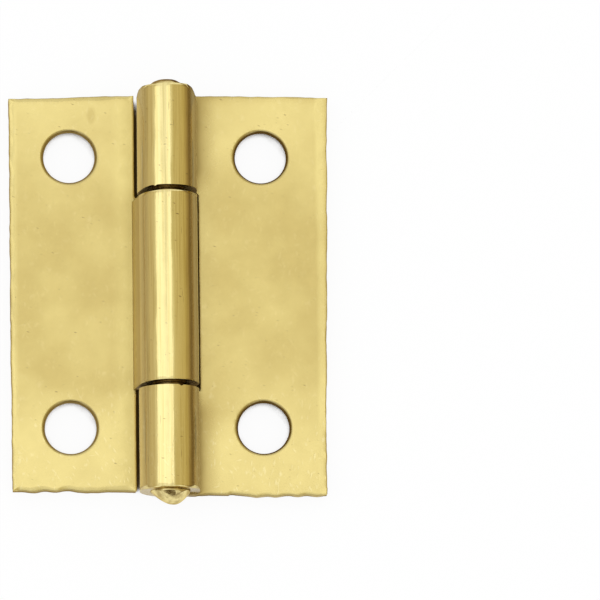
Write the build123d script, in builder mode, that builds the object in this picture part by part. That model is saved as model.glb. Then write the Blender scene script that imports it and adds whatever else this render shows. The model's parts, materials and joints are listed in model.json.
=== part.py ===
from build123d import *
import os
from math import acos, atan2, cos, degrees, hypot, isclose, radians, sin

# A small brass butt hinge, open flat with its barrel up: two leaves of sheet brass, each
# rolled around one pin. The pin's axis runs along Y. The leaf with the centre knuckle lies
# on -X and the leaf with the two outer knuckles on +X. The barrel's underside is at Z = 0.

# Sheet and pin
sheet = 0.85
pin_diameter = 2.0
pin_clearance = 0.025
head_diameter = 2.5
head_height = 0.8
head_rim = 0.12

# Both leaves along the pin. The centre knuckle's leaf was cut a little shorter.
leaf_length = 25.4
centre_leaf_trim = 0.1
centre_knuckle_length = 12.0
knuckle_gap = 0.33

# Leaf with the centre knuckle. Its roll stops early, so its straight tip flares a little.
centre_leaf_reach = 9.9
centre_hole_offset = 6.1
notch_gap = 0.27
centre_curl_end = 15.5
centre_seam = 0.03

# Leaf with the outer knuckles
outer_leaf_reach = 10.0
outer_hole_offset = 5.95
slot_gap = 0.14
outer_curl_end = 2.0
outer_seam = 0.06

# The leaves' backs lie a little above the underside of the barrel
leaf_lift = 0.25
ramp_reach = 1.225
bend_radius = 4.0

# Plain punched screw holes
hole_diameter = 3.45
hole_end_distance = 4.075
hole_rim_round = 0.12

# Corners of the cuts, and sheared edges worn off a little
cut_corner_radius = 0.18
edge_break = 0.08

# Sizes that follow from these
bore_radius = pin_diameter / 2 + pin_clearance
barrel_radius = bore_radius + sheet
centre_leaf_length = leaf_length - 2 * centre_leaf_trim
hole_pitch = leaf_length - 2 * hole_end_distance
pin_axis = Axis((0, 0, barrel_radius), (0, 1, 0))

# The ramp touches the barrel's outside and meets the leaf's back at a shallow crease
crease_offset = barrel_radius + ramp_reach
leaf_drop = barrel_radius - leaf_lift
slope = atan2(crease_offset, leaf_drop) - acos(barrel_radius / hypot(crease_offset, leaf_drop))

# A section's local X points from the pin to the leaf's free edge, and its local Y points up
centre_side = Plane((0, 0, 0), x_dir=(-1, 0, 0), z_dir=(0, 1, 0))
outer_side = Plane((0, 0, 0), x_dir=(1, 0, 0), z_dir=(0, -1, 0))


def around_pin(radius, angle):
    """A point of the section at a radius from the pin's axis and an angle above level."""
    return (radius * cos(angle), barrel_radius + radius * sin(angle))


def on_ramp(along, above):
    """A point of the section, measured from the roll's foot along the ramp and square to it."""
    foot = around_pin(barrel_radius, slope - radians(90))
    return (
        foot[0] + along * cos(slope) - above * sin(slope),
        foot[1] + along * sin(slope) + above * cos(slope),
    )


def tip_end(radius, curl_end, seam):
    """Where the straight tip, leaving the roll at this radius, comes down to the ramp."""
    turn = radians(curl_end)
    length = (bore_radius - seam + radius * sin(turn - slope)) / cos(turn - slope)
    start = around_pin(radius, turn)
    return (start[0] + length * sin(turn), start[1] - length * cos(turn))


def leaf_section(side, reach, curl_end, seam):
    """The sheet seen from its end: flat, ramp, roll under and over the pin, straight tip."""
    turn = radians(curl_end)
    roll_start = degrees(slope) - 90
    with BuildSketch(side) as section:
        with BuildLine():
            FilletPolyline((reach, leaf_lift), (crease_offset, leaf_lift), on_ramp(0, 0), radius=bend_radius)
            CenterArc((0, barrel_radius), barrel_radius, roll_start, curl_end - 360 - roll_start)
            offset(amount=sheet, side=Side.RIGHT)
        make_face()
        with BuildLine():
            Polyline(
                around_pin(barrel_radius, turn),
                tip_end(barrel_radius, curl_end, seam),
                tip_end(bore_radius, curl_end, seam),
                around_pin(bore_radius, turn),
                close=True,
            )
        make_face()
    return section.sketch


def cut_section(side, gap, seam):
    """What a notch or slot takes away: the roll, and the ramp up to a gap from the barrel."""
    ramp_left = (barrel_radius + gap - on_ramp(0, sheet)[0]) / cos(slope)
    far = 2 * barrel_radius
    with BuildSketch(side) as section:
        with BuildLine():
            Polyline(
                on_ramp(ramp_left, -sheet),
                on_ramp(ramp_left, sheet + seam / 2),
                on_ramp(far, sheet + seam / 2),
                on_ramp(far, 2 * far),
                on_ramp(-far, 2 * far),
                on_ramp(-far, -sheet),
                close=True,
            )
        make_face()
    return section.sketch


def cut_corners(leaf, side):
    """The edges through the sheet where a notch or the slot turns its corner."""
    through_sheet = Axis((0, 0, 0), side.y_dir * cos(slope) - side.x_dir * sin(slope))
    inside = centre_leaf_length / 2 - edge_break
    return leaf.edges().filter_by(through_sheet).filter_by_position(Axis.Y, -inside, inside)


def hole_rims(leaf):
    """The rims of the screw holes on the leaf's inner face."""
    inner_face = leaf.faces().filter_by(Axis.Z).sort_by(Axis.Z)[-1]
    return inner_face.inner_wires().edges()


def worn_edges(leaf, side):
    """The outline of the leaf's inner face and the rims of its knuckles."""
    inner_face = leaf.faces().filter_by(Axis.Z).sort_by(Axis.Z)[-1]
    outline = inner_face.outer_wire().edges().sort_by(Axis((0, 0, 0), side.x_dir))[1:]
    arcs = leaf.edges().filter_by(GeomType.CIRCLE)
    rims = arcs.filter_by(lambda arc: isclose(arc.radius, barrel_radius, rel_tol=1e-6))
    return outline + rims


# The leaf with the centre knuckle: a notch at each end clears the outer knuckles
notch_length = (centre_leaf_length - centre_knuckle_length) / 2
notch_centre = (centre_knuckle_length + notch_length) / 2
with BuildPart() as centre_knuckle_leaf:
    extrude(
        leaf_section(centre_side, centre_leaf_reach, centre_curl_end, centre_seam),
        amount=centre_leaf_length / 2,
        both=True,
    )
    for end in (-1, 1):
        extrude(
            cut_section(centre_side.offset(end * notch_centre), notch_gap, centre_seam),
            amount=notch_length / 2,
            both=True,
            mode=Mode.SUBTRACT,
        )
    fillet(cut_corners(centre_knuckle_leaf, centre_side), cut_corner_radius)
    with Locations((-centre_hole_offset, 0, leaf_lift)):
        with GridLocations(0, hole_pitch, 1, 2):
            Hole(hole_diameter / 2)
    fillet(hole_rims(centre_knuckle_leaf), hole_rim_round)
    chamfer(worn_edges(centre_knuckle_leaf, centre_side), edge_break)

# The leaf with the outer knuckles: a slot in the middle clears the centre knuckle
slot_length = centre_knuckle_length + 2 * knuckle_gap
with BuildPart() as outer_knuckle_leaf:
    extrude(
        leaf_section(outer_side, outer_leaf_reach, outer_curl_end, outer_seam),
        amount=leaf_length / 2,
        both=True,
    )
    extrude(
        cut_section(outer_side, slot_gap, outer_seam),
        amount=slot_length / 2,
        both=True,
        mode=Mode.SUBTRACT,
    )
    fillet(cut_corners(outer_knuckle_leaf, outer_side), cut_corner_radius)
    with Locations((outer_hole_offset, 0, leaf_lift)):
        with GridLocations(0, hole_pitch, 1, 2):
            Hole(hole_diameter / 2)
    fillet(hole_rims(outer_knuckle_leaf), hole_rim_round)
    chamfer(worn_edges(outer_knuckle_leaf, outer_side), edge_break)

# The pin: a plain shank, with its two domed heads seated on the ends of the outer knuckles
shank_half = leaf_length / 2
dome_height = head_height - head_rim
dome_radius = ((head_diameter / 2) ** 2 + dome_height**2) / (2 * dome_height)
with BuildPart() as hinge_pin:
    with BuildSketch(Plane((0, 0, barrel_radius), x_dir=(0, 1, 0), z_dir=(1, 0, 0))):
        with BuildLine():
            Polyline(
                (shank_half + head_height, 0),
                (0, 0),
                (0, pin_diameter / 2),
                (shank_half, pin_diameter / 2),
                (shank_half, head_diameter / 2),
                (shank_half + head_rim, head_diameter / 2),
            )
            RadiusArc(
                (shank_half + head_rim, head_diameter / 2),
                (shank_half + head_height, 0),
                dome_radius,
            )
        make_face()
    revolve(axis=pin_axis)
    mirror(about=Plane.XZ)

centre_knuckle_leaf.part.label = "centre_knuckle_leaf"
outer_knuckle_leaf.part.label = "outer_knuckle_leaf"
hinge_pin.part.label = "hinge_pin"

os.makedirs("parts", exist_ok=True)
export_step(centre_knuckle_leaf.part, "parts/centre_knuckle_leaf.step")
export_step(outer_knuckle_leaf.part, "parts/outer_knuckle_leaf.step")
export_step(hinge_pin.part, "parts/hinge_pin.step")
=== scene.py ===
# %% [markdown]
# A small brass butt hinge. Two leaves are cut from sheet brass, and each is rolled round the
# same pin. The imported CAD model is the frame: it fixes every size, and says which piece swings.
# This script keeps those sizes and gives the hinge its real skin: sheared edges, knuckles whose
# ends are a little crooked, a pin with hammered heads, and brass with the marks of its making.

# %% Load the frame
import json
import math

import bmesh
import bpy
from mathutils import Matrix, Vector, noise


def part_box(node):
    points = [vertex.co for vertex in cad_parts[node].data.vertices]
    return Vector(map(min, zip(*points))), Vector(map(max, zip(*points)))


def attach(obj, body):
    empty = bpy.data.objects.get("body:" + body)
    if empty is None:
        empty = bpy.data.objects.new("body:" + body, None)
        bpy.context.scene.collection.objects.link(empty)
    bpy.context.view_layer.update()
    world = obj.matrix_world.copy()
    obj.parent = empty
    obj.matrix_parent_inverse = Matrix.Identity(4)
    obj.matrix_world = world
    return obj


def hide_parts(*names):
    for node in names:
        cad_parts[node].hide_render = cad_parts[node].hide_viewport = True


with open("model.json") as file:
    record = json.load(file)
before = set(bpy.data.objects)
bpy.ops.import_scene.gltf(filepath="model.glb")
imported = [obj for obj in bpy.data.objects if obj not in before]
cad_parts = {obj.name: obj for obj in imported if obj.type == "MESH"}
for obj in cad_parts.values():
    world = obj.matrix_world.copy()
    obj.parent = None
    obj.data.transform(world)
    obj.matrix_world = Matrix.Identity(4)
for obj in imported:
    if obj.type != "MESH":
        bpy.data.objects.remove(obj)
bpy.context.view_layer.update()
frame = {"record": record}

mm = 0.001


def add_object(name, data):
    """A new object in the scene, at the origin, unturned."""
    made = bpy.data.objects.new(name, data)
    bpy.context.scene.collection.objects.link(made)
    return made


# %% [markdown]
# The frame is in metres, which is coarse for a hinge as long as a thumb joint. The blanks are
# therefore drawn in millimetres and made small once, at the end. What the frame can tell is read
# from it: how far each leaf reaches, how long it is, how high the pin lies, where the holes are.
# The rest is what a maker would set at the press, such as the sheet and the bends.

# %% Sizes that the frame tells, in millimetres
centre_low, centre_high = [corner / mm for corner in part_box("centre_knuckle_leaf")]
outer_low, outer_high = [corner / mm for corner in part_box("outer_knuckle_leaf")]
pin_low, pin_high = [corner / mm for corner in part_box("hinge_pin")]
mounts = {mount["name"]: mount for mount in frame["record"]["mounts"]}
barrel_radius = (pin_low.z + pin_high.z) / 2
head_radius = (pin_high.z - pin_low.z) / 2
print("barrel radius", round(barrel_radius, 3), "head radius", round(head_radius, 3))

# %% Sizes that the press sets, in millimetres
sheet = 0.85
pin_radius = 1.0
bore_radius = barrel_radius - sheet
leaf_lift = 0.25
crease_offset = barrel_radius + 1.225
bend_radius = 16.0
centre_knuckle_half = 6.0
slot_half = 6.33
cut_corner_radius = 0.18
leaf_drop = barrel_radius - leaf_lift
slope = math.atan2(crease_offset, leaf_drop)
slope -= math.acos(barrel_radius / math.hypot(crease_offset, leaf_drop))
foot = (barrel_radius * math.sin(slope), barrel_radius * (1 - math.cos(slope)))
print("the ramp rises", round(math.degrees(slope), 2), "degrees from the barrel to the leaf")

# %% [markdown]
# Seen from its end, a leaf is one strip: flat, bent down a little at a crease, straight to the
# foot of the barrel, round the pin, and down again to a short straight tip. A strip like that is
# easiest to tell as a walk, in which each run has a length and a turn. The walk follows the
# outside of the bends. Lengths along it are also lengths on the flat blank, so the same numbers
# cut the blank and roll it.

# %% The walk along the sheet
finest_turn = math.radians(1)


def walk(runs, start, heading):
    """Points along the runs. An arc is walked in chords of a degree at most."""
    points = [start]
    for length, turn in runs:
        steps = max(1, math.ceil(abs(turn) / finest_turn))
        half = turn / steps / 2
        chord = length / steps * (math.sin(half) / half if half else 1)
        for _ in range(steps):
            heading += half
            across, up = points[-1]
            points.append((across + chord * math.cos(heading), up + chord * math.sin(heading)))
            heading += half
    return points


def tip_length(radius, curl_end, seam):
    """How long the straight tip is at this distance from the pin's axis."""
    lean = math.radians(curl_end) - slope
    return (bore_radius - seam + radius * math.sin(lean)) / math.cos(lean)


# %% The two leaves, as what differs between them
def leaf_sizes(reach, half_length, hole_offset, gap, curl_end, seam, side, wear):
    """Everything the press needs to know of one leaf."""
    tangent = bend_radius * math.tan(slope / 2)
    flat = reach - crease_offset - tangent
    bend = bend_radius * slope
    ramp = math.hypot(crease_offset - foot[0], leaf_lift - foot[1]) - tangent
    sweep = slope + math.radians(270 - curl_end)
    tip = tip_length(barrel_radius, curl_end, seam)
    at_foot = flat + bend + ramp
    at_roll_end = at_foot + barrel_radius * sweep
    ramp_left = (barrel_radius + gap - foot[0] + sheet * math.sin(slope)) / math.cos(slope)
    return {
        "runs": [(flat, 0), (bend, slope), (ramp, 0), (barrel_radius * sweep, -sweep), (tip, 0)],
        "reach": reach,
        "half_length": half_length,
        "hole_at": reach - hole_offset,
        "bend_at": flat,
        "ramp_at": flat + bend,
        "cut_at": at_foot - ramp_left,
        "foot_at": at_foot,
        "top_at": at_foot + barrel_radius * (slope + math.radians(180)),
        "roll_end_at": at_roll_end,
        "tip_at": at_roll_end + tip,
        "tip_stretch": tip_length(bore_radius, curl_end, seam) / tip,
        "side": side,
        "wear": wear,
    }


centre_leaf = leaf_sizes(
    reach=-centre_low.x,
    half_length=(centre_high.y - centre_low.y) / 2,
    hole_offset=-mounts["centre_leaf_screw_holes"]["pos_m"][0] / mm,
    gap=0.14,
    curl_end=15.5,
    seam=0.03,
    side=-1,
    wear=1.0,
)
outer_leaf = leaf_sizes(
    reach=outer_high.x,
    half_length=(outer_high.y - outer_low.y) / 2,
    hole_offset=mounts["outer_leaf_screw_holes"]["pos_m"][0] / mm,
    gap=0.13,
    curl_end=2.0,
    seam=0.06,
    side=1,
    wear=0.5,
)
print("blanks are", round(centre_leaf["tip_at"], 2), "and", round(outer_leaf["tip_at"], 2), "mm wide")

# %% [markdown]
# The blanks come first, flat, as they lie in the press. A blank's outline is a list of corners.
# Long edges are divided, because a sheared edge is never quite straight, and each point is then
# pushed by a smooth noise. That noise takes its offsets from the clock unless it is given a seed.
# The punched slot and notches have small round inner corners, and they wander less. In the
# blank's own drawing, its free edge lies at X = 0, the roll lies towards -X, and the length of
# the pin is Y.

# %% The outline of a blank
edge_step = 0.12
shear_wander, slow_waves = 0.06, 0.35
shear_ripple, quick_waves = 0.028, 2.1
lower_ripple, lower_waves = 0.13, 1.15
lower_from = 12.4
cut_wander = 0.35
corner_steps = 6
round_steps = 96
noise.seed_set(417)


def rounded_corner(before, corner, after, radius):
    """The points of an arc that rounds one corner of an outline."""
    one, two = (before - corner).normalized(), (after - corner).normalized()
    half = one.angle(two) / 2
    middle = corner + (one + two).normalized() * radius / math.sin(half)
    start, end = -two, -one
    return [middle + start.slerp(end, step / corner_steps) * radius for step in range(corner_steps + 1)]


def divided(points):
    """The closed outline with its long edges divided."""
    made = []
    for here, there in zip(points, points[1:] + points[:1]):
        count = max(1, math.ceil((there - here).length / edge_step))
        made += [here.lerp(there, step / count) for step in range(count)]
    return made


def blank_outline(corners, leaf):
    """Corners are (x, y, radius). The result runs anticlockwise and wanders a little."""
    side = leaf["side"]
    drawn = [Vector((x, y)) for x, y, _ in corners]
    points = []
    for index, (_, _, radius) in enumerate(corners):
        before, after = drawn[index - 1], drawn[(index + 1) % len(drawn)]
        points += rounded_corner(before, drawn[index], after, radius) if radius else [drawn[index]]
    worn = []
    for point in divided(points):
        slow = noise.noise_vector(Vector((point.x * slow_waves, point.y * slow_waves, 7.0 * side)))
        quick = noise.noise_vector(Vector((point.x * quick_waves, point.y * quick_waves, 3.0 * side)))
        step = slow * shear_wander + quick * shear_ripple
        # The shears were worst at the leaf's lower end, which is the centre blank's +Y.
        if -point.y * side > lower_from and -point.x < leaf["bend_at"]:
            step += noise.noise_vector(Vector((point.x * lower_waves, 0.0, 5.0 * side))) * lower_ripple
        if -point.x > leaf["ramp_at"]:
            step *= cut_wander
        worn.append(point + step.xy)
    return worn


def hole_outline(x, y, radius):
    """A hole runs clockwise, so that the sheet is on its left as it is inside the outline."""
    turns = [-2 * math.pi * step / round_steps for step in range(round_steps)]
    return [Vector((x + radius * math.cos(turn), y + radius * math.sin(turn))) for turn in turns]


# %% [markdown]
# On the real hinge the ends of the knuckles are where the shears and the rolling went wrong by a
# hair. Towards its tip the middle knuckle leans to the lower end, and the upper knuckle follows it
# on the far flank. The upper knuckle has a tiny burr beside its crest, and the lower one a nick.
# All of this is a small change of Y along the ends of the knuckles, given as a distance that
# depends on how far round the roll a point lies.

# %% Crooked knuckle ends
lower_skew, upper_skew = 0.2, 0.24
skew_from = 5.0
flank_skew = 0.2
flank_skew_from, flank_skew_over = 1.2, 1.2
burr_height, burr_width, burr_at = 0.075, 0.09, -0.87
nick_depth, nick_width, nick_at = 0.09, 0.11, 0.7
upper_swelling = 0.17
upper_droop = 0.38
lower_swelling = 0.03
end_bend_from = 12.0
left_shoulder, right_shoulder = 2.3, 1.85
shoulder_width = 0.5
past_cut, past_slot = 0.3, 0.2


def clamped(share):
    """The share, kept from nothing to one."""
    return min(max(share, 0.0), 1.0)


def bump_at(distance, centre, width):
    """One where the distance is the centre, falling to nothing a few widths away."""
    return math.exp(-(((distance - centre) / width) ** 2))


def centre_knuckle_end(point):
    """Towards the tip, both ends of the middle knuckle lean to the lower end."""
    share = (-point.x - centre_leaf["top_at"]) / (centre_leaf["tip_at"] - centre_leaf["top_at"])
    share = clamped(share) * clamped(abs(point.y) - skew_from)
    # This leaf is turned end for end, so its +Y is the lower end in the photograph.
    return (lower_skew if point.y > 0 else upper_skew) * share**1.5


def outer_knuckle_end(point):
    """The rolled ends bulge and droop, and a burr and a nick face the middle knuckle."""
    if -point.x < outer_leaf["cut_at"] + past_cut:
        return 0.0
    round_roll = -point.x - outer_leaf["top_at"]
    if abs(point.y) > slot_half + past_slot:
        share = max(abs(point.y) - end_bend_from, 0.0) / (outer_leaf["half_length"] - end_bend_from)
        shoulder = left_shoulder if round_roll < 0 else right_shoulder
        on_top = min(max((shoulder - abs(round_roll)) / shoulder_width, -1.0), 1.0)
        if point.y < 0:
            return -lower_swelling * share
        return (upper_swelling if on_top > 0 else upper_droop) * on_top * share
    if point.y > 0:
        flank = clamped((-round_roll - flank_skew_from) / flank_skew_over)
        return -burr_height * bump_at(round_roll, burr_at, burr_width) - flank_skew * flank
    return -nick_depth * bump_at(round_roll, nick_at, nick_width)


# %% [markdown]
# Shears leave one edge of the sheet drawn in and round, and the other sharp with a trace of burr.
# A punched hole is narrowest a little above its middle, and opens to both faces. A Bevel modifier
# would do neither, so a rim is built as rings instead: each ring is the outline again, set in by a
# little and raised by a little. Where the rings are upright walls they are marked as sheared,
# because that metal looks different. The mark is a plain number on each point, which the brass
# reads later. It is nothing on the first ring and the last, which the big faces share.

# %% The rim of a blank, ring by ring
drawn_in = 0.27
drawn_down = 0.08
front_round = 0.02
back_round = 0.07
front_steps = 7
edge_rawness = 0.5
cut_drawn_share = 0.15
cut_wear_from = 0.2
corner_room = 0.7
wear_variation, wear_waves = 0.6, 0.9
hole_waist = 0.12
hole_lip = 0.1
waist_height = 0.5
hole_rawness = 0.65
free_edge_width = 0.45
free_edge_rawness = 0.3
sharp_turn = math.radians(40)
shear_and_gap_shade_mark = "sheared"
crevice_shade_mark = "tarnish"
roll_mark = "rolled"


def edge_profile():
    """(set in, height, sheared) for each ring, from the back of the sheet to its front."""
    rings = [(back_round, 0.0, 0.0), (back_round / 4, back_round / 4, edge_rawness / 2)]
    rings += [(0.0, back_round, edge_rawness), (0.0, sheet / 2, edge_rawness)]
    rings.append((0.0, sheet - drawn_down - front_round, edge_rawness))
    for step in range(front_steps + 1):
        share = step / front_steps
        inset = front_round + (drawn_in - front_round) * share
        rings.append((inset, sheet - drawn_down * (1 - share) ** 1.5, edge_rawness * (1 - share) ** 6))
    return rings


def hole_profile():
    """The same for a punched hole, which is set out and not in at its waist."""
    rings = [(back_round, 0.0, 0.0), (0.0, back_round, hole_rawness)]
    rings.append((-hole_waist / 2, waist_height / 2, hole_rawness))
    for step in range(front_steps + 1):
        turn = math.radians(90) * step / front_steps
        inset = (hole_waist + hole_lip) * (1 - math.cos(turn)) - hole_waist
        height = waist_height + (sheet - waist_height) * math.sin(turn)
        rings.append((inset, height, hole_rawness * (1.0 - (step / front_steps) ** 4)))
    return rings


def inward(outline):
    """For each point, the step that moves it into the sheet by one unit of distance."""
    steps = []
    for index, here in enumerate(outline):
        before, after = outline[index - 1], outline[(index + 1) % len(outline)]
        one, two = (here - before).normalized(), (after - here).normalized()
        left = Vector((-one.y - two.y, one.x + two.x)).normalized()
        steps.append(left / max(left.dot(Vector((-two.y, two.x))), 0.5))
    return steps


def sharp_corners(outline):
    """The points where the outline turns left by more than a rounded corner's step does."""
    found = []
    for index, here in enumerate(outline):
        before, after = outline[index - 1], outline[(index + 1) % len(outline)]
        if (here - before).angle_signed(after - here) < -sharp_turn:
            found.append(here)
    return found


def rim_widths(outline, leaf):
    """How far each point is drawn in: less at the cuts and the free edge, least at a corner."""
    corners = sharp_corners(outline)
    widths = []
    for point in outline:
        wear = noise.noise(Vector((point.x * wear_waves, point.y * wear_waves, 11.0)))
        wear = leaf["wear"] * (1 + wear_variation * wear)
        if -point.x > leaf["ramp_at"] + cut_wear_from:
            wear *= cut_drawn_share
        elif -point.x < free_edge_width:
            wear *= leaf["wear"]
        room = min([(point - corner).length for corner in corners], default=drawn_in * 2)
        widths.append(min(wear, corner_room * room / drawn_in))
    return widths


def add_rim(blank, mark, outline, profile, widths):
    """Adds the rings of one outline, and returns the edges of the first ring and the last."""
    inwards = inward(outline)
    rings = []
    for inset, height, sheared in profile:
        ring = []
        for point, step, width in zip(outline, inwards, widths):
            placed = point + step * inset * width
            # Where the sheet is drawn in less, it is drawn down less too.
            level = sheet - (sheet - height) * width if height > sheet / 2 else height
            vertex = blank.verts.new((placed.x, placed.y, level))
            vertex[mark] = sheared
            ring.append(vertex)
        rings.append(ring)
    count = len(outline)
    for low, high in zip(rings, rings[1:]):
        for index in range(count):
            after = (index + 1) % count
            blank.faces.new((low[index], low[after], high[after], high[index]))
    ends = []
    for ring in (rings[0], rings[-1]):
        ends.append([blank.edges.get((ring[index], ring[(index + 1) % count])) for index in range(count)])
    return ends


# %% [markdown]
# The front and the back are filled inside the rims. Then the whole blank is scored: a grid of
# cuts runs across it, close together where the sheet will be rolled and wider where it stays
# flat. Without these cuts there would be no points for the roll to move. Bisect only divides what
# it meets, so the holes stay round and the edges keep their rims.

# %% Filling and scoring a blank
flat_step = 0.22
pin_step = 0.22
roll_step = math.radians(2.5)
least_distance = 0.0002
bend_step = math.radians(1)
# Painted shade in the seam under the roll's tip and on the tip itself: how far it reaches, how it fades,
# how strong it is.
crevice_shade_reach = 1.5
seam_fade = 1.4
tip_shade, tip_shade_loss = 0.85, 0.3


def score_lines(leaf):
    """Where the sheet is scored across, measured from its free edge."""
    lines = []
    spans = [
        (0, leaf["bend_at"], flat_step),
        (leaf["bend_at"], leaf["ramp_at"], bend_radius * bend_step),
        (leaf["ramp_at"], leaf["foot_at"], flat_step),
        (leaf["foot_at"], leaf["roll_end_at"], barrel_radius * roll_step),
        (leaf["roll_end_at"], leaf["tip_at"], flat_step),
    ]
    for start, end, step in spans:
        count = math.ceil((end - start) / step)
        lines += [start + (end - start) * index / count for index in range(1, count + 1)]
    return lines[:-1]


def crevice_shade_at(leaf, point):
    """Painted shade: brown on the tip of the roll and in the seam below it, where shade falls."""
    along, outside = -point.x, point.z < sheet / 2
    if outside and along > leaf["roll_end_at"]:
        share = (along - leaf["roll_end_at"]) / (leaf["tip_at"] - leaf["roll_end_at"])
        return tip_shade - tip_shade_loss * share
    if outside or leaf["side"] < 0 or along > leaf["foot_at"]:
        return 0.0
    from_seam = leaf["foot_at"] + foot[0] - along - barrel_radius
    return clamped((abs(point.y) - slot_half) / seam_fade) * clamped(1 - from_seam / crevice_shade_reach) ** 1.4


def rolled_at(leaf, point):
    """One on the outside of the roll, away from the seam and the knuckle's ends."""
    along, length = -point.x, abs(point.y)
    if point.z > sheet / 2 or along < leaf["foot_at"]:
        return 0.0
    ends = (centre_knuckle_half,) if leaf["side"] < 0 else (slot_half, leaf["half_length"])
    to_ends = [abs(length - end) for end in ends]
    return clamped(min(to_ends + [leaf["roll_end_at"] - along, along - leaf["foot_at"]]))


def cut_across(blank, place, direction):
    """Divides everything that a plane meets."""
    everything = blank.verts[:] + blank.edges[:] + blank.faces[:]
    bmesh.ops.bisect_plane(blank, geom=everything, dist=least_distance, plane_co=place, plane_no=direction)


def make_blank(name, leaf, outline, knuckle_end):
    """The flat blank as a mesh object, in metres."""
    blank = bmesh.new()
    mark = blank.verts.layers.float.new(shear_and_gap_shade_mark)
    tarnish = blank.verts.layers.float.new(crevice_shade_mark)
    rolled = blank.verts.layers.float.new(roll_mark)
    spacing = mounts[name + "_screw_holes"]["dims"]["spacing_y_mm"]
    radius = mounts[name + "_screw_holes"]["dims"]["hole_r_mm"]
    holes = [hole_outline(-leaf["hole_at"], end * spacing / 2, radius) for end in (-1, 1)]
    backs, fronts = [], []
    rims = [(outline, edge_profile(), rim_widths(outline, leaf))]
    rims += [(hole, hole_profile(), [1.0] * len(hole)) for hole in holes]
    for loop, profile, widths in rims:
        back, front = add_rim(blank, mark, loop, profile, widths)
        backs += back
        fronts += front
    for edges, up in ((backs, -1), (fronts, 1)):
        filled = bmesh.ops.triangle_fill(blank, edges=edges, use_beauty=True, normal=(0, 0, up))
        faces = [face for face in filled["geom"] if isinstance(face, bmesh.types.BMFace)]
        inner = {edge for face in faces for edge in face.edges} - set(edges)
        # A set has no steady order, and the mesh has to come out the same each time.
        in_order = [edge for edge in blank.edges if edge in inner]
        bmesh.ops.dissolve_limit(blank, angle_limit=finest_turn, edges=in_order, verts=[])
    count = math.ceil(2 * leaf["half_length"] / pin_step)
    for index in range(1, count):
        cut_across(blank, (0, leaf["half_length"] * (2 * index / count - 1), 0), (0, 1, 0))
    for line in score_lines(leaf):
        cut_across(blank, (-line, 0, 0), (1, 0, 0))
    for vertex in blank.verts:
        # Painted shade: the knuckle ends that face each other across the gaps get twice the sheared mark.
        if -vertex.co.x > leaf["foot_at"] and abs(vertex.co.y) < slot_half + 0.05:
            vertex[mark] = min(vertex[mark] * 2, 1.0)
        elif -vertex.co.x < free_edge_width:
            vertex[mark] *= free_edge_rawness
        # Painted shade in the seam and on the tip of the roll is put on the points here.
        vertex[tarnish] = crevice_shade_at(leaf, vertex.co)
        vertex[rolled] = rolled_at(leaf, vertex.co)
        vertex.co.y += knuckle_end(vertex.co)
        beyond = -vertex.co.x - leaf["roll_end_at"]
        if beyond > 0:
            stretch = 1 + (leaf["tip_stretch"] - 1) * vertex.co.z / sheet
            vertex.co.x = -leaf["roll_end_at"] - beyond * stretch
    bmesh.ops.remove_doubles(blank, verts=blank.verts, dist=least_distance)
    bmesh.ops.recalc_face_normals(blank, faces=blank.faces)
    open_edges = sum(not edge.is_manifold for edge in blank.edges)
    bmesh.ops.scale(blank, vec=(mm, mm, mm), verts=blank.verts)
    mesh = bpy.data.meshes.new(name)
    blank.to_mesh(mesh)
    blank.free()
    print(name, "blank:", len(mesh.polygons), "faces,", open_edges, "open edges")
    return add_object(name, mesh)


# %% The two blanks
# How far the shears missed each free corner: (sideways, along the pin), lower end first
centre_askew = [(-0.16, -0.02), (-0.04, -0.28)]
outer_askew = [(-0.19, 0.17), (0.2, -0.2)]


def free_corners(leaf, askew):
    """The two corners of the free edge, from -Y to +Y of the blank."""
    half = leaf["half_length"]
    # The centre leaf is turned end for end, so its -Y end is the upper one.
    first, second = askew if leaf["side"] > 0 else askew[::-1]
    return [(first[0], -half - first[1], 0), (second[0], half + second[1], 0)]


def centre_blank_corners(leaf):
    """A notch at each end leaves one knuckle in the middle."""
    cut, tip, half, knuckle = -leaf["cut_at"], -leaf["tip_at"], leaf["half_length"], centre_knuckle_half
    return free_corners(leaf, centre_askew) + [
        (cut, half, 0),
        (cut, knuckle, cut_corner_radius),
        (tip, knuckle, 0),
        (tip, -knuckle, 0),
        (cut, -knuckle, cut_corner_radius),
        (cut, -half, 0),
    ]


def outer_blank_corners(leaf):
    """A slot in the middle leaves a knuckle at each end."""
    cut, tip, half = -leaf["cut_at"], -leaf["tip_at"], leaf["half_length"]
    return free_corners(leaf, outer_askew) + [
        (tip, half, 0),
        (tip, slot_half, 0),
        (cut, slot_half, cut_corner_radius),
        (cut, -slot_half, cut_corner_radius),
        (tip, -slot_half, 0),
        (tip, -half, 0),
    ]


centre_outline = blank_outline(centre_blank_corners(centre_leaf), centre_leaf)
centre_piece = make_blank("centre_leaf", centre_leaf, centre_outline, centre_knuckle_end)
outer_outline = blank_outline(outer_blank_corners(outer_leaf), outer_leaf)
outer_piece = make_blank("outer_leaf", outer_leaf, outer_outline, outer_knuckle_end)

# %% [markdown]
# Geometry Nodes do the rolling. The walk becomes a curve, and the tree lays each point of the
# blank on it: X says how far along the curve to go, Z how far off it, and Y runs along the pin.
# The same tree then adds what rolled sheet always has, a swell of a few thousandths that no eye
# sees but every reflection does. Its sizes are inputs, so one tree serves both leaves.

# %% Helpers for node trees
def put(tree, kind, settings=None, **inputs):
    """Adds a node. Inputs are named as in Blender with _ for a space, and are values or sockets."""
    node = tree.nodes.new(kind)
    for key, value in (settings or {}).items():
        setattr(node, key, value)
    for key, value in inputs.items():
        plug(tree, node, key.replace("_", " "), value)
    return node


def plug(tree, node, key, value):
    """Links or sets one input, which is given by name or by number."""
    if isinstance(value, bpy.types.NodeSocket):
        tree.links.new(value, node.inputs[key])
    else:
        node.inputs[key].default_value = value


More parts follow.
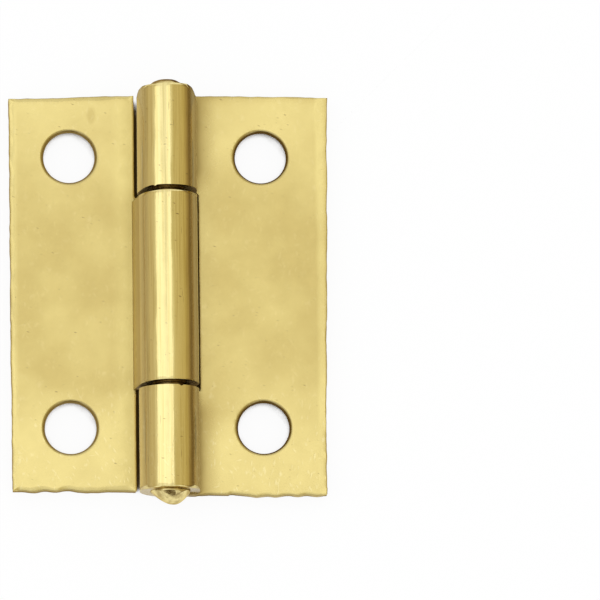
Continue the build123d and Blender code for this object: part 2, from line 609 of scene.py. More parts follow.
def maths(tree, operation, *values):
    """A Math node on one, two or three values."""
    node = put(tree, "ShaderNodeMath", {"operation": operation})
    for index, value in enumerate(values):
        plug(tree, node, index, value)
    return node.outputs[0]


def times(tree, one, two):
    """The product of two values."""
    return maths(tree, "MULTIPLY", one, two)


def vectors(tree, operation, *values):
    """A Vector Math node on two vectors."""
    node = put(tree, "ShaderNodeVectorMath", {"operation": operation})
    for index, value in enumerate(values):
        plug(tree, node, index, value)
    return node.outputs[0]


def scaled(tree, vector, factor):
    """A vector times a number."""
    return put(tree, "ShaderNodeVectorMath", {"operation": "SCALE"}, Vector=vector, Scale=factor).outputs[0]


def axes(tree, vector):
    """The X, Y and Z of a vector, by name."""
    return put(tree, "ShaderNodeSeparateXYZ", Vector=vector).outputs


def length_of(tree, vector):
    """The length of a vector."""
    return put(tree, "ShaderNodeVectorMath", {"operation": "LENGTH"}, Vector=vector).outputs["Value"]


def new_tree(name, inputs):
    """An empty geometry tree with named inputs, and its group input and output nodes."""
    tree = bpy.data.node_groups.new(name, "GeometryNodeTree")
    tree.interface.new_socket("Geometry", in_out="OUTPUT", socket_type="NodeSocketGeometry")
    tree.interface.new_socket("Geometry", in_out="INPUT", socket_type="NodeSocketGeometry")
    for title, kind in inputs:
        tree.interface.new_socket(title, in_out="INPUT", socket_type="NodeSocket" + kind)
    return tree, tree.nodes.new("NodeGroupInput"), tree.nodes.new("NodeGroupOutput")


def end_tree(tree, geometry, entry, leave):
    """Realize Instances and Set Material come last, because the export drops instances."""
    smooth = put(tree, "GeometryNodeSetShadeSmooth", Geometry=geometry)
    real = put(tree, "GeometryNodeRealizeInstances", Geometry=smooth.outputs[0])
    finish = put(tree, "GeometryNodeSetMaterial", Geometry=real.outputs[0])
    plug(tree, finish, "Material", entry.outputs["Material"])
    tree.links.new(finish.outputs[0], leave.inputs[0])


# %% The tree that rolls a blank
def swell(tree, entry, geometry, mask):
    """Moves the surface in and out by a smooth noise times a mask, along its own normals."""
    place = scaled(tree, put(tree, "GeometryNodeInputPosition").outputs[0], 1 / mm)
    pattern = put(
        tree,
        "ShaderNodeTexNoise",
        {"noise_dimensions": "4D"},
        Vector=place,
        W=entry.outputs["Seed"],
        Scale=entry.outputs["Swells per mm"],
        Detail=2.0,
    )
    height = times(tree, maths(tree, "SUBTRACT", pattern.outputs[0], 0.5), entry.outputs["Swell height"])
    masked = times(tree, height, mask)
    offset = scaled(tree, put(tree, "GeometryNodeInputNormal").outputs[0], masked)
    return put(tree, "GeometryNodeSetPosition", Geometry=geometry, Offset=offset).outputs[0]


def rolling_tree():
    """Lays a flat blank along a curve."""
    tree, entry, leave = new_tree(
        "roll_a_blank",
        [
            ("Path", "Object"),
            ("Overhang", "Float"),
            ("Along the pin", "Vector"),
            ("Swell height", "Float"),
            ("Swells per mm", "Float"),
            ("Extra on the roll", "Float"),
            ("Seed", "Float"),
            ("Material", "Material"),
        ],
    )
    place = axes(tree, put(tree, "GeometryNodeInputPosition").outputs[0])
    path = put(tree, "GeometryNodeObjectInfo", Object=entry.outputs["Path"])
    sample = put(tree, "GeometryNodeSampleCurve", {"mode": "LENGTH"})
    plug(tree, sample, "Curves", path.outputs["Geometry"])
    plug(tree, sample, "Length", maths(tree, "SUBTRACT", entry.outputs["Overhang"], place["X"]))
    along = entry.outputs["Along the pin"]
    off_path = vectors(tree, "NORMALIZE", vectors(tree, "CROSS_PRODUCT", along, sample.outputs["Tangent"]))
    on_sheet = vectors(tree, "ADD", sample.outputs["Position"], scaled(tree, off_path, place["Z"]))
    rolled = vectors(tree, "ADD", on_sheet, scaled(tree, along, place["Y"]))
    laid = put(tree, "GeometryNodeSetPosition", Geometry=entry.outputs["Geometry"], Position=rolled)
    rolled_outside = put(tree, "GeometryNodeInputNamedAttribute", {"data_type": "FLOAT"}, Name=roll_mark)
    mask = maths(tree, "MULTIPLY_ADD", rolled_outside.outputs[0], entry.outputs["Extra on the roll"], 1.0)
    end_tree(tree, swell(tree, entry, laid.outputs[0], mask), entry, leave)
    return tree


# %% Running a tree and keeping its result as a plain mesh
def run_tree(piece, tree, **inputs):
    """Sets a modifier's inputs by the identifiers of their sockets, and bakes the modifier."""
    modifier = piece.modifiers.new(tree.name, "NODES")
    modifier.node_group = tree
    for item in tree.interface.items_tree:
        key = item.name.replace(" ", "_")
        if item.in_out == "INPUT" and key in inputs:
            modifier[item.identifier] = inputs[key]
    evaluated = piece.evaluated_get(bpy.context.evaluated_depsgraph_get())
    made = bpy.data.meshes.new_from_object(evaluated)
    piece.modifiers.clear()
    piece.data = made
    made.name = piece.name
    print(piece.name, "has", len(made.polygons), "faces after", tree.name)


def path_object(name, points, radii=None):
    """A poly curve through points that are given in metres."""
    curve = bpy.data.curves.new(name, "CURVE")
    curve.dimensions = "3D"
    spline = curve.splines.new("POLY")
    spline.points.add(len(points) - 1)
    for index, point in enumerate(points):
        spline.points[index].co = (*point, 1)
        if radii:
            spline.points[index].radius = radii[index]
    return add_object(name, curve)


# %% [markdown]
# The brass. Fresh sheet brass is a pale yellow metal whose colour sits in its reflections, so it
# is a metallic surface and its base colour is the colour of a white card seen in it. Three
# things keep it from looking like plastic. Its tone drifts over a few millimetres, dull to clean.
# The rolled barrel has been rubbed bright and drawn into fine streaks along the pin. And handling
# has left short scratches and small pits. Shade and highlights are also painted into its colour.

# %% Helpers for materials
def bare_material(name):
    """A material, its emptied tree, and the socket for its surface."""
    material = bpy.data.materials.new(name)
    material.use_nodes = True
    tree = material.node_tree
    tree.nodes.clear()
    return material, tree, put(tree, "ShaderNodeOutputMaterial").inputs[0]


def start_metal(name):
    """A metal material, its tree and shader, and the place on the piece in millimetres."""
    material, tree, surface = bare_material(name)
    shader = put(tree, "ShaderNodeBsdfPrincipled", Metallic=1.0)
    tree.links.new(shader.outputs[0], surface)
    place = put(tree, "ShaderNodeTexCoord").outputs["Object"]
    return material, tree, shader, scaled(tree, place, 1 / mm)


def end_metal(tree, shader, colour, roughness, height):
    """Links the colour, the roughness, and a bump whose height is in millimetres."""
    plug(tree, shader, "Base Color", colour)
    plug(tree, shader, "Specular Tint", edge_tint)
    plug(tree, shader, "Roughness", roughness)
    bump = put(tree, "ShaderNodeBump", Height=height, Distance=mm, Strength=1.0)
    plug(tree, shader, "Normal", bump.outputs[0])


def spread(tree, value, low, high, to_low=0.0, to_high=1.0):
    """Maps a value from one range to another, smoothly and without leaving it."""
    node = put(tree, "ShaderNodeMapRange", {"interpolation_type": "SMOOTHSTEP"}, Value=value)
    for key, bound in zip(("From Min", "From Max", "To Min", "To Max"), (low, high, to_low, to_high)):
        plug(tree, node, key, bound)
    return node.outputs[0]


def blend(tree, kind, factor, one, two):
    """Mixes two numbers or two colours. Each kind has its own sockets on the same node."""
    node = put(tree, "ShaderNodeMix", {"data_type": kind})
    first = {"FLOAT": 2, "RGBA": 6}[kind]
    for index, value in ((0, factor), (first, one), (first + 1, two)):
        plug(tree, node, index, value)
    return node.outputs[{"FLOAT": 0, "RGBA": 2}[kind]]


def blend_colour(tree, factor, one, two):
    """Mixes two colours."""
    return blend(tree, "RGBA", factor, one, two)


def grain(tree, place, size, seed, detail=2.0, roughness=0.5):
    """Noise whose cells are size millimetres wide: one number, or one for each axis."""
    sizes = size if isinstance(size, tuple) else (size,) * 3
    node = put(tree, "ShaderNodeTexNoise", {"noise_dimensions": "4D"}, W=seed, Scale=1.0)
    plug(tree, node, "Vector", vectors(tree, "DIVIDE", place, sizes))
    plug(tree, node, "Detail", detail)
    plug(tree, node, "Roughness", roughness)
    return node.outputs[0]


def around_nothing(tree, pattern, strength):
    """A noise turned into an amount that may add or take away."""
    return times(tree, maths(tree, "SUBTRACT", pattern, 0.5), strength)


def scratches(tree, place, angle, length, width, seed, rarity):
    """Short fine lines at one angle in plan. The rarer they are, the nearer rarity is to 0.8."""
    turned = put(tree, "ShaderNodeMapping", Vector=place, Rotation=(0, 0, math.radians(angle)))
    lines = grain(tree, turned.outputs[0], (length, width, length), seed, detail=0.0)
    return spread(tree, lines, rarity, rarity + 0.11)


# %% Colours of the brass
polished_brass = (0.87, 0.745, 0.345, 1)
clean_brass = (0.735, 0.612, 0.246, 1)
dull_brass = (0.565, 0.447, 0.163, 1)
brown_brass = (0.3, 0.215, 0.09, 1)
scratch_brass = (0.96, 0.87, 0.52, 1)
# Painted shade in the seam and on the tip of the roll.
crevice_shade_brass = (0.3, 0.2, 0.05, 1)
# Painted shade and reflection on the barrel's lower flanks, darker on the right.
left_flank_painted_shade = (0.6, 0.475, 0.21, 1)
right_flank_painted_shade = (0.44, 0.34, 0.13, 1)
# The colour of sheared metal, which at the knuckle ends across the gaps is also painted shade.
sheared_and_gap_shade_brass = (0.24, 0.18, 0.085, 1)
edge_tint = (0.82, 0.72, 0.52, 1)

# %% Where the flats are cleaner or duller, or carry painted light and shade, in millimetres, and by how much
worn_from, worn_to = 3.5, 10.5
tone_in_middle, tone_gain_at_ends = 0.12, 0.75
lower_end_gain = -0.012
cloud_size, cloud_strength = 3.6, 1.9
speck_size, speck_strength = 0.7, 0.75
# Painted highlight on the left ramp beside the barrel.
ramp_highlight_from, ramp_highlight_to, ramp_highlight_gain = -3.6, -2.6, 0.55
# Painted shade on the right leaf beside the seam.
seam_shade_from, seam_shade_to, seam_shade_gain = 4.6, 2.2, -0.45
band_from, band_to, band_gain = 11.9, 12.5, -0.35
# Painted highlight along the free edges.
edge_highlight_from, edge_highlight_to, edge_highlight_gain = 9.25, 9.65, 0.6
smudge_place = (-4.7, 11.3, leaf_lift + sheet)
smudge_size = (0.32, 0.6, 1.0)
smudge_from, smudge_to, smudge_gain = 1.2, 0.4, -0.55


def flat_tone(tree, place, mottle):
    """From 0 for dull to 1 for clean, with the places that are cleaner or duller than the rest, and painted
    highlights and shade.
    """
    across, length = axes(tree, place)["X"], axes(tree, place)["Y"]
    rubbed = spread(tree, maths(tree, "ABSOLUTE", length), worn_from, worn_to)
    tone = maths(tree, "MULTIPLY_ADD", rubbed, tone_gain_at_ends, tone_in_middle)
    tone = maths(tree, "MULTIPLY_ADD", length, lower_end_gain, tone)
    clouds = grain(tree, place, cloud_size, 2.0, detail=3.0)
    tone = maths(tree, "ADD", tone, around_nothing(tree, clouds, cloud_strength))
    tone = maths(tree, "ADD", tone, around_nothing(tree, mottle, speck_strength))
    on_left = maths(tree, "LESS_THAN", across, 0.0)
    on_right = maths(tree, "SUBTRACT", 1.0, on_left)
    # Painted highlight on the left ramp, and painted shade beside the seam on the right.
    left_ramp_highlight = times(tree, spread(tree, across, ramp_highlight_from, ramp_highlight_to), on_left)
    seam_shade = times(tree, times(tree, spread(tree, across, seam_shade_from, seam_shade_to), rubbed), on_right)
    upper_band = spread(tree, length, band_from, band_to)
    off_smudge = vectors(tree, "DIVIDE", vectors(tree, "SUBTRACT", place, smudge_place), smudge_size)
    smudge = spread(tree, length_of(tree, off_smudge), smudge_from, smudge_to)
    # Painted highlight along the free edges.
    edge_highlight = spread(tree, maths(tree, "ABSOLUTE", across), edge_highlight_from, edge_highlight_to)
    for where, gain in (
        (left_ramp_highlight, ramp_highlight_gain),
        (seam_shade, seam_shade_gain),
        (upper_band, band_gain),
        (smudge, smudge_gain),
        (edge_highlight, edge_highlight_gain),
    ):
        tone = maths(tree, "MULTIPLY_ADD", where, gain, tone)
    return tone


# %% Marks of handling
fleck_size = (0.5, 0.7, 0.5)
pit_size = 0.22
scratch_share = 0.75
handled_from, handled_to = -5.0, -10.0
least_handled, most_handled = 0.25, 0.9


def handling_marks(tree, place):
    """Short scratches at three angles, thickest near the lower ends of the leaves, and pits."""
    steep = scratches(tree, place, angle=58, length=0.5, width=0.15, seed=11.0, rarity=0.7)
    upright = scratches(tree, place, angle=96, length=0.45, width=0.15, seed=14.0, rarity=0.7)
    level = scratches(tree, place, angle=-12, length=0.6, width=0.13, seed=17.0, rarity=0.73)
    marks = maths(tree, "MAXIMUM", maths(tree, "MAXIMUM", steep, upright), level)
    flecks = spread(tree, grain(tree, place, fleck_size, 41.0, detail=3.0), 0.6, 0.74)
    marks = maths(tree, "MAXIMUM", times(tree, marks, scratch_share), flecks)
    length = axes(tree, place)["Y"]
    handled = spread(tree, length, handled_from, handled_to, least_handled, most_handled)
    pits = spread(tree, grain(tree, place, pit_size, 31.0, detail=1.0), 0.765, 0.8)
    nicks = scratches(tree, place, angle=18, length=0.35, width=0.11, seed=47.0, rarity=0.755)
    return times(tree, marks, handled), maths(tree, "MAXIMUM", pits, nicks)


# %% The brass of the leaves
# Painted shade on the barrel's flanks grows from the first height down to the second, in millimetres.
flank_shade_from, flank_shade_to = 3.35, 2.5
barrel_from, barrel_to = barrel_radius + 0.3, barrel_radius + 0.05
streak_size = (0.13, 7.0, 0.13)
drag_size = (0.1, 1.3, 0.1)
fine_size = 0.09
painted_shade_metal = 0.38
satin_roughness = (0.2, 0.27)
bright_roughness = (0.09, 0.16)
raw_roughness = 0.15

# How much of its own colour each mark brings
mark_cover = 0.38
pit_cover = 0.7
drag_cover = 0.4
crevice_shade_cover = 0.7
sheared_cover = 0.9

# Heights and depths in the skin of the metal, in millimetres
streak_height = 0.004
mottle_height = 0.003
mark_depth = 0.002
fine_height = 0.0004


def mark_of(tree, name):
    """A mark that was put on the blank's points."""
    return put(tree, "ShaderNodeAttribute", {"attribute_name": name}).outputs["Fac"]


def leaf_brass():
    """Satin on the flats, bright and streaked on the barrel, raw where it was sheared, with painted shade
    and painted highlights.
    """
    material, tree, shader, place = start_metal("leaf_brass")
    across, height = axes(tree, place)["X"], axes(tree, place)["Z"]
    axis = vectors(tree, "MULTIPLY", vectors(tree, "SUBTRACT", place, (0, 0, barrel_radius)), (1, 0, 1))
    barrel = spread(tree, length_of(tree, axis), barrel_from, barrel_to)
    mottle = grain(tree, place, speck_size, 5.0, detail=4.0, roughness=0.6)
    streaks = grain(tree, place, streak_size, 8.0, detail=3.0)
    fine = grain(tree, place, fine_size, 3.0, detail=2.0)
    marks, pits = handling_marks(tree, place)
    sheared, tarnish = mark_of(tree, shear_and_gap_shade_mark), mark_of(tree, crevice_shade_mark)
    dragged = spread(tree, grain(tree, place, drag_size, 37.0, detail=1.0), 0.7, 0.76)
    # Where the barrel's lower flanks get painted shade.
    flank = times(tree, spread(tree, height, flank_shade_from, flank_shade_to), barrel)

    brass = blend_colour(tree, flat_tone(tree, place, mottle), dull_brass, clean_brass)
    rubbed = blend_colour(tree, spread(tree, streaks, 0.3, 0.6), clean_brass, polished_brass)
    # Painted shade and reflection: the barrel's flanks darken, the right one more than the left.
    on_right = spread(tree, across, -1.0, 1.0)
    flank_painted_shade = blend_colour(tree, on_right, left_flank_painted_shade, right_flank_painted_shade)
    rubbed = blend_colour(tree, flank, rubbed, flank_painted_shade)
    for factor, colour in (
        (barrel, rubbed),
        (times(tree, marks, mark_cover), scratch_brass),
        (times(tree, pits, pit_cover), brown_brass),
        (times(tree, times(tree, dragged, barrel), drag_cover), brown_brass),
        # Painted shade in the seam and on the tip of the roll.
        (times(tree, tarnish, crevice_shade_cover), crevice_shade_brass),
        # Sheared colour, and painted shade at the knuckle ends across the gaps.
        (times(tree, sheared, sheared_cover), sheared_and_gap_shade_brass),
    ):
        brass = blend_colour(tree, factor, brass, colour)
    # The painted shade on the barrel's flanks and on the middle knuckle's tip also shines less like metal.
    on_tip = times(tree, tarnish, maths(tree, "LESS_THAN", across, 0.0))
    painted_shade_share = maths(tree, "MAXIMUM", on_tip, flank)
    plug(tree, shader, "Metallic", spread(tree, painted_shade_share, 0.0, 1.0, 1.0, painted_shade_metal))

    satin = spread(tree, mottle, 0.3, 0.7, *satin_roughness)
    bright = spread(tree, streaks, 0.3, 0.7, *bright_roughness)
    roughness = blend(tree, "FLOAT", barrel, satin, bright)
    raw = times(tree, maths(tree, "ADD", sheared, tarnish), raw_roughness)
    drawn = times(tree, times(tree, streaks, barrel), streak_height)
    peened = maths(tree, "MULTIPLY_ADD", mottle, mottle_height, drawn)
    dug = maths(tree, "MULTIPLY_ADD", maths(tree, "MAXIMUM", marks, pits), -mark_depth, peened)
    relief = maths(tree, "MULTIPLY_ADD", fine, fine_height, dug)
    end_metal(tree, shader, brass, maths(tree, "ADD", roughness, raw), relief)
    return material


# %% The brass of the pin
pin_clean = (0.84, 0.71, 0.33, 1)
pin_dull = (0.5, 0.39, 0.16, 1)
# Painted shade on the shank, which shows only in the gaps between the knuckles.
pin_shank_painted_shade = (0.3, 0.22, 0.09, 1)
shank_from, shank_to = 12.3, 12.6
blotch_size, blotch_height = 0.5, 0.03
pin_grain_size, pin_grain_height = 0.06, 0.001
pin_roughness = (0.14, 0.24)


def pin_brass():
    """Drawn rod, dull, with heads that were hammered over, and painted shade on the shank between them."""
    material, tree, shader, place = start_metal("pin_brass")
    blotches = grain(tree, place, blotch_size, 21.0, detail=3.0)
    fine = grain(tree, place, pin_grain_size, 23.0, detail=2.0)
    brass = blend_colour(tree, spread(tree, blotches, 0.38, 0.62), pin_dull, pin_clean)
    length = maths(tree, "ABSOLUTE", axes(tree, place)["Y"])
    # Painted shade on the shank, which shows only in the gaps between the knuckles.
    brass = blend_colour(tree, spread(tree, length, shank_from, shank_to), pin_shank_painted_shade, brass)
    relief = times(tree, blotches, blotch_height)
    relief = maths(tree, "ADD", relief, times(tree, fine, pin_grain_height))
    end_metal(tree, shader, brass, spread(tree, fine, 0.3, 0.7, *pin_roughness), relief)
    return material


leaf_finish = leaf_brass()
pin_finish = pin_brass()
print("materials:", leaf_finish.name, "and", pin_finish.name)

# %% Rolling the two leaves
roller = rolling_tree()
swell_height = 0.02
swells_per_mm = 0.3
roll_extra = 3.5
overhang = 0.5
for piece, leaf, seed in ((centre_piece, centre_leaf, 4.0), (outer_piece, outer_leaf, 9.0)):
    route = walk([(overhang, 0)] + leaf["runs"], (leaf["reach"] + overhang, leaf_lift), math.pi)
    path = path_object(piece.name + "_path", [(leaf["side"] * u * mm, 0, z * mm) for u, z in route])
    run_tree(
        piece,
        roller,
        Path=path,
        Overhang=overhang * mm,
        Along_the_pin=(0.0, float(leaf["side"]), 0.0),
        Swell_height=swell_height * mm,
        Swells_per_mm=swells_per_mm,
        Extra_on_the_roll=roll_extra,
        Seed=seed,
        Material=leaf_finish,
    )
    bpy.data.objects.remove(path)

# %% [markdown]
# The pin is turned: a straight line along Y on which every point has its own radius. Curve to
# Mesh sweeps a circle along it, which is what a lathe does. Only the heads show. They were closed
# with a hammer, so they are blunt domes with a low rim, and the same swell as before, but coarse
# and held to the heads, puts the hammer's marks on them.

# %% The pin's profile
head_start = outer_leaf["half_length"]
head_height = pin_high.y - head_start
head_rim = 0.12
hammer_depth, hammer_marks_per_mm = 0.12, 1.1
hammered_from = 0.04
dome_steps = 18
tip_radius = 0.01
lower_bluntness = 0.56
upper_bluntness = 0.36
lower_growth = 0.12
upper_growth = -0.09
lower_tip_aside = 0.17


def pin_profile(bluntness, growth):
    """(place along the pin, radius) from the middle to one end. A cone's bluntness would be 1."""
    dome = head_height + growth - head_rim
    profile = [(0.0, pin_radius)]
    for past_start, radius in (
        (-0.1, pin_radius),
        (0.005, pin_radius),
        (0.01, head_radius * 0.93),
        (0.05, head_radius * 0.985),
        (head_rim, head_radius),
    ):
        profile.append((head_start + past_start, radius))
    for step in range(1, dome_steps + 1):
        share = math.sin(math.radians(90) * step / dome_steps)
        radius = max(head_radius * (1 - share) ** bluntness, tip_radius)
        profile.append((head_start + head_rim + dome * share, radius))
    return profile


lower_end = [(-y, radius) for y, radius in reversed(pin_profile(lower_bluntness, lower_growth))]
whole_pin = lower_end + pin_profile(upper_bluntness, upper_growth)[1:]
print("pin profile has", len(whole_pin), "places")


# %% The tree that turns the pin
def turning_tree():
    """A lathe, with a hammered swell beyond a distance from the middle."""
    tree, entry, leave = new_tree(
        "turn_a_pin",
        [
            ("Path", "Object"),
            ("Swell height", "Float"),
            ("Swells per mm", "Float"),
            ("Heads from", "Float"),
            ("Head height", "Float"),
            ("Lower tip aside", "Float"),
            ("Seed", "Float"),
            ("Material", "Material"),
        ],
    )
    path = put(tree, "GeometryNodeObjectInfo", Object=entry.outputs["Path"])
    circle = put(tree, "GeometryNodeCurvePrimitiveCircle", Resolution=round_steps, Radius=1.0)
    turned = put(tree, "GeometryNodeCurveToMesh")
    plug(tree, turned, "Curve", path.outputs["Geometry"])
    plug(tree, turned, "Profile Curve", circle.outputs["Curve"])
    plug(tree, turned, "Scale", put(tree, "GeometryNodeInputRadius").outputs[0])
    plug(tree, turned, "Fill Caps", True)
    place = axes(tree, put(tree, "GeometryNodeInputPosition").outputs[0])
    from_middle = maths(tree, "ABSOLUTE", place["Y"])
    past_rim = maths(tree, "SUBTRACT", from_middle, entry.outputs["Heads from"])
    on_head = maths(tree, "GREATER_THAN", past_rim, 0.0)
    share = maths(tree, "DIVIDE", maths(tree, "MAXIMUM", past_rim, 0.0), entry.outputs["Head height"])
    lower = times(tree, maths(tree, "LESS_THAN", place["Y"], 0.0), share)
    sideways = times(tree, lower, entry.outputs["Lower tip aside"])
    aside = put(tree, "ShaderNodeCombineXYZ", X=sideways)
    knocked = put(tree, "GeometryNodeSetPosition", Geometry=turned.outputs[0], Offset=aside.outputs[0])
    end_tree(tree, swell(tree, entry, knocked.outputs[0], on_head), entry, leave)
    return tree


pin_piece = add_object("riveted_pin", bpy.data.meshes.new("riveted_pin"))
pin_places = [(0, y * mm, barrel_radius * mm) for y, _ in whole_pin]
pin_line = path_object("pin_line", pin_places, [radius * mm for _, radius in whole_pin])
run_tree(
    pin_piece,
    turning_tree(),
    Path=pin_line,
    Swell_height=hammer_depth * mm,
    Swells_per_mm=hammer_marks_per_mm,
    Heads_from=(head_start + hammered_from) * mm,
    Head_height=head_height * mm,
    Lower_tip_aside=lower_tip_aside * mm,
    Seed=6.0,
    Material=pin_finish,
)
bpy.data.objects.remove(pin_line)

# %% [markdown]
# Each piece now rides on its CAD body, and the CAD node under it is hidden. The pin is held by
# the outer knuckles, so it rides with them.

# %% Pieces on their bodies
for piece, body, node, slot in (
    (centre_piece, "centre_leaf", "centre_knuckle_leaf", "leaf_brass"),
    (outer_piece, "outer_leaf", "outer_knuckle_leaf", "leaf_brass"),
    (pin_piece, "outer_leaf", "hinge_pin", "pin_brass"),
):
    piece.name = node + "_formed"
    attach(piece, body)
    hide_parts(node)

# %% [markdown]
# Metal is only as good as what it mirrors. A photographer hangs one large soft box over a hinge,
# a little to the left, and stands grey cards beside it. The box fills the flat leaves with an
# even light, and two brighter tubes draw the two lines down the barrel. The cards are warm, as
# more brass beside it would be, and darken the barrel's flanks, which is what makes it look
# round. They show in the metal alone: the camera and the floor don't see them.

# %% The floor
floor_half = 1.5
floor_level = -0.02 * mm
floor_tone = (0.93, 0.93, 0.93, 1)
floor_glow = 0.92
# Painted shade: the floor's dark brown in the gaps under the hinge, and where it begins.
gap_painted_shade = (0.11, 0.078, 0.03, 1)
gap_reach = 4.0
gap_from, gap_to = 0.27, 0.36
white = (1, 1, 1, 1)


def studio_object(name, points, faces, material):
    """A plain mesh for the floor or a card, from points in metres."""
    mesh = bpy.data.meshes.new(name)
    mesh.from_pydata(points, [], faces)
    mesh.materials.append(material)
    return add_object(name, mesh)


def rectangle(half_width, low, high):
    """Its four corners, anticlockwise."""
    return [(-half_width, low), (half_width, low), (half_width, high), (-half_width, high)]


def seen_directly(tree):
    """One for rays from the camera and for rays by way of metal or glass."""
    path = put(tree, "ShaderNodeLightPath").outputs
    mirrored = maths(tree, "MAXIMUM", path["Is Glossy Ray"], path["Is Transmission Ray"])
    return maths(tree, "MAXIMUM", path["Is Camera Ray"], mirrored)


def make_floor():
    """A pale plain floor under the barrel. Part of its white doesn't depend on the light, and it is painted
    dark brown in the narrow gaps under the hinge.
    """
    material, tree, surface = bare_material("floor_white")
    openness = put(tree, "ShaderNodeAmbientOcclusion", {"samples": 16}, Distance=gap_reach * mm)
    open_air = spread(tree, openness.outputs["AO"], gap_from, gap_to)
    # Painted shade: where little sky reaches, as in the narrow gaps, the floor is dark brown and stops
    # glowing.
    paint = put(tree, "ShaderNodeBsdfDiffuse", Color=blend_colour(tree, open_air, gap_painted_shade, floor_tone))
    glow = put(tree, "ShaderNodeEmission", Color=white, Strength=1.0)
    mixed = put(tree, "ShaderNodeMixShader")
    plug(tree, mixed, 0, times(tree, times(tree, seen_directly(tree), floor_glow), open_air))
    plug(tree, mixed, 1, paint.outputs[0])
    plug(tree, mixed, 2, glow.outputs[0])
    tree.links.new(mixed.outputs[0], surface)
    points = [(x, y, floor_level) for x, y in rectangle(floor_half, -floor_half, floor_half)]
    floor = studio_object("floor", points, [(0, 1, 2, 3)], material)


make_floor()


# %% The world behind everything
def make_world():
    """Plain white on all sides, at the strength where white is white."""
    world = bpy.data.worlds.new("white_studio")
    world.use_nodes = True
    tree = world.node_tree
    tree.nodes.clear()
    background = put(tree, "ShaderNodeBackground", Color=white, Strength=1.0)
    output = put(tree, "ShaderNodeOutputWorld")
    tree.links.new(background.outputs[0], output.inputs[0])
    bpy.context.scene.world = world


make_world()


# %% Soft box and tubes
def soft_light(name, angle, forward, distance, width, length, brightness):
    """A rectangular lamp, angle degrees right of straight up, that faces the hinge."""
    lamp = bpy.data.lights.new(name, "AREA")
    lamp.shape = "RECTANGLE"
    lamp.size = width
    lamp.size_y = length
    lamp.energy = brightness * math.pi * width * length
    made = add_object(name, lamp)
    turn, tilt = math.radians(angle), math.radians(forward)
    away = Vector((math.sin(turn), math.tan(tilt) * math.cos(turn), math.cos(turn))).normalized()
    made.location = away * distance
    made.rotation_mode = "QUATERNION"
    made.rotation_quaternion = away.to_track_quat("Z", "Y")


soft_light("soft_box", angle=-16, forward=11, distance=0.6, width=0.62, length=0.7, brightness=0.03)
soft_light("left_tube", angle=-38, forward=11, distance=0.5, width=0.14, length=0.6, brightness=0.3)
soft_light("crest_tube", angle=4, forward=11, distance=0.5, width=0.13, length=0.6, brightness=0.28)


# %% Warm grey cards
card_radius = 0.4
card_length = 0.9
card_foot = 0.014
card_level = 0.1 * mm
card_steps = 30
mat_half = 120.0
mat_slot_half = 1.3
mat_from, mat_to = -12.9, 18.0
mat_slot_to = 12.9
mat_height = 0.15
front_distance = -0.3
front_half, front_foot, front_top = 0.12, 0.0, 0.14


def card_for_metal(name, points, faces, colour_in):
    """A glowing card that is hidden from the camera, from the floor and from shadows."""
    material, tree, surface = bare_material(name)
    glow = put(tree, "ShaderNodeEmission", Color=colour_in(tree), Strength=1.0)
    tree.links.new(glow.outputs[0], surface)
    card = studio_object(name, points, faces, material)
    card.visible_camera = False
    card.visible_diffuse = False
    card.visible_shadow = False


def colour_by_angle(tree, stops):
    """A colour by the angle from straight up. Stops are (degrees, colour)."""
    place = axes(tree, put(tree, "ShaderNodeTexCoord").outputs["Object"])
    angle = maths(tree, "ARCTAN2", maths(tree, "ABSOLUTE", place["X"]), place["Z"])
    first, last = stops[0][0], stops[-1][0]
    past_first = maths(tree, "SUBTRACT", angle, math.radians(first))
    share = maths(tree, "DIVIDE", past_first, math.radians(last - first))
    ramp = put(tree, "ShaderNodeValToRGB", Fac=share)
    elements = ramp.color_ramp.elements
    while len(elements) < len(stops):
        elements.new(0.5)
    for element, (degrees, colour) in zip(elements, stops):
        element.position = (degrees - first) / (last - first)
        element.color = colour
    return ramp.outputs[0]


def side_card(name, side, stops):
    """A card curved over the hinge from its side down to the floor, and on towards the hinge."""
    first = math.radians(stops[0][0])
    profile = []
    for step in range(card_steps + 1):
        turn = first + (math.radians(90) - first) * step / card_steps
        profile.append((card_radius * math.sin(turn), max(card_radius * math.cos(turn), card_level)))
    profile.append((card_foot, card_level))
    points = [(side * x, end * card_length / 2, z) for x, z in profile for end in (-1, 1)]
    faces = [(2 * step, 2 * step + 1, 2 * step + 3, 2 * step + 2) for step in range(len(profile) - 1)]
    card_for_metal(name, points, faces, lambda tree: colour_by_angle(tree, stops))


def mat(name, left_tone, right_tone):
    """A mat on the floor, with a slot from its lower end for the barrel, for the metal alone."""

    def tone(tree):
        """The left tone and the right one meet in the middle of the slot."""
        place = axes(tree, put(tree, "ShaderNodeTexCoord").outputs["Object"])
        share = spread(tree, place["X"], -mat_slot_half * mm, mat_slot_half * mm)
        return blend_colour(tree, share, left_tone, right_tone)

    corners = rectangle(mat_half, mat_from, mat_to) + rectangle(mat_slot_half, mat_from, mat_slot_to)
    points = [(x * mm, y * mm, mat_height * mm) for x, y in corners]
    sides = [(index, (index + 1) % 4, (index + 1) % 4 + 4, index + 4) for index in (1, 2, 3)]
    card_for_metal(name, points, sides, tone)


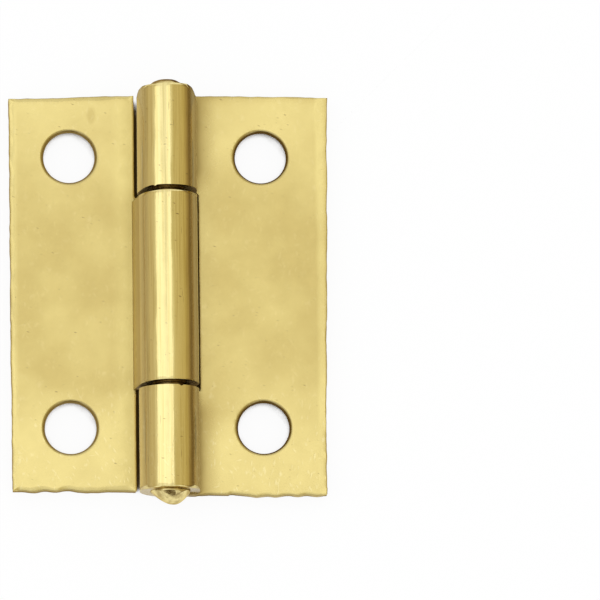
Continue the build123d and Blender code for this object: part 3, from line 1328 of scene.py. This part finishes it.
# A small dark card stands low before the lower end, and darkens the middle of the head.
front_points = [(x, front_distance, z) for x, z in rectangle(front_half, front_foot, front_top)]
card_for_metal("front_card", front_points, [(0, 1, 2, 3)], lambda tree: (0.15, 0.11, 0.06, 1))
mat("mat", left_tone=(0.5, 0.42, 0.3, 1), right_tone=(0.2, 0.135, 0.06, 1))
side_card(
    "right_card",
    side=1,
    stops=[
        (12, (0.78, 0.74, 0.58, 1)),
        (24, (0.66, 0.58, 0.38, 1)),
        (66, (0.56, 0.46, 0.24, 1)),
        (82, (0.34, 0.25, 0.12, 1)),
        (91, (0.2, 0.14, 0.065, 1)),
    ],
)
side_card(
    "left_card",
    side=-1,
    stops=[
        (48, (0.8, 0.76, 0.64, 1)),
        (64, (0.6, 0.52, 0.38, 1)),
        (80, (0.6, 0.52, 0.38, 1)),
        (91, (0.45, 0.38, 0.28, 1)),
    ],
)

# %% [markdown]
# The camera stands where the photograph was taken from: high over the hinge, eleven degrees
# towards its lower end and a little to the left, with a long lens. It aims to the right of the
# hinge, as the photograph does.

# %% The camera
camera_distance = 0.4
camera_lens, camera_sensor = 382.1, 36
camera_tilt = math.radians(11.23)
camera_pan = math.radians(-4.32)
camera_roll = math.radians(-0.8)
camera_aim = Vector((8.394, -0.292, 0)) * mm


def make_camera():
    """Looks back along a direction that is given by the tilt and the pan."""
    camera = bpy.data.cameras.new("camera")
    camera.sensor_width = camera_sensor
    camera.lens = camera_lens
    camera.clip_start = 0.01
    made = add_object("camera", camera)
    back = Vector(
        (
            math.sin(camera_pan),
            -math.sin(camera_tilt) * math.cos(camera_pan),
            math.cos(camera_tilt) * math.cos(camera_pan),
        )
    )
    right = Vector((0, 1, 0)).cross(back).normalized()
    up = back.cross(right)
    level = Matrix((right, up, back)).transposed().to_4x4()
    place = Matrix.Translation(camera_aim + back * camera_distance)
    made.matrix_world = place @ level @ Matrix.Rotation(camera_roll, 4, "Z")
    bpy.context.scene.camera = made


make_camera()
bpy.context.scene.view_settings.view_transform = "Standard"
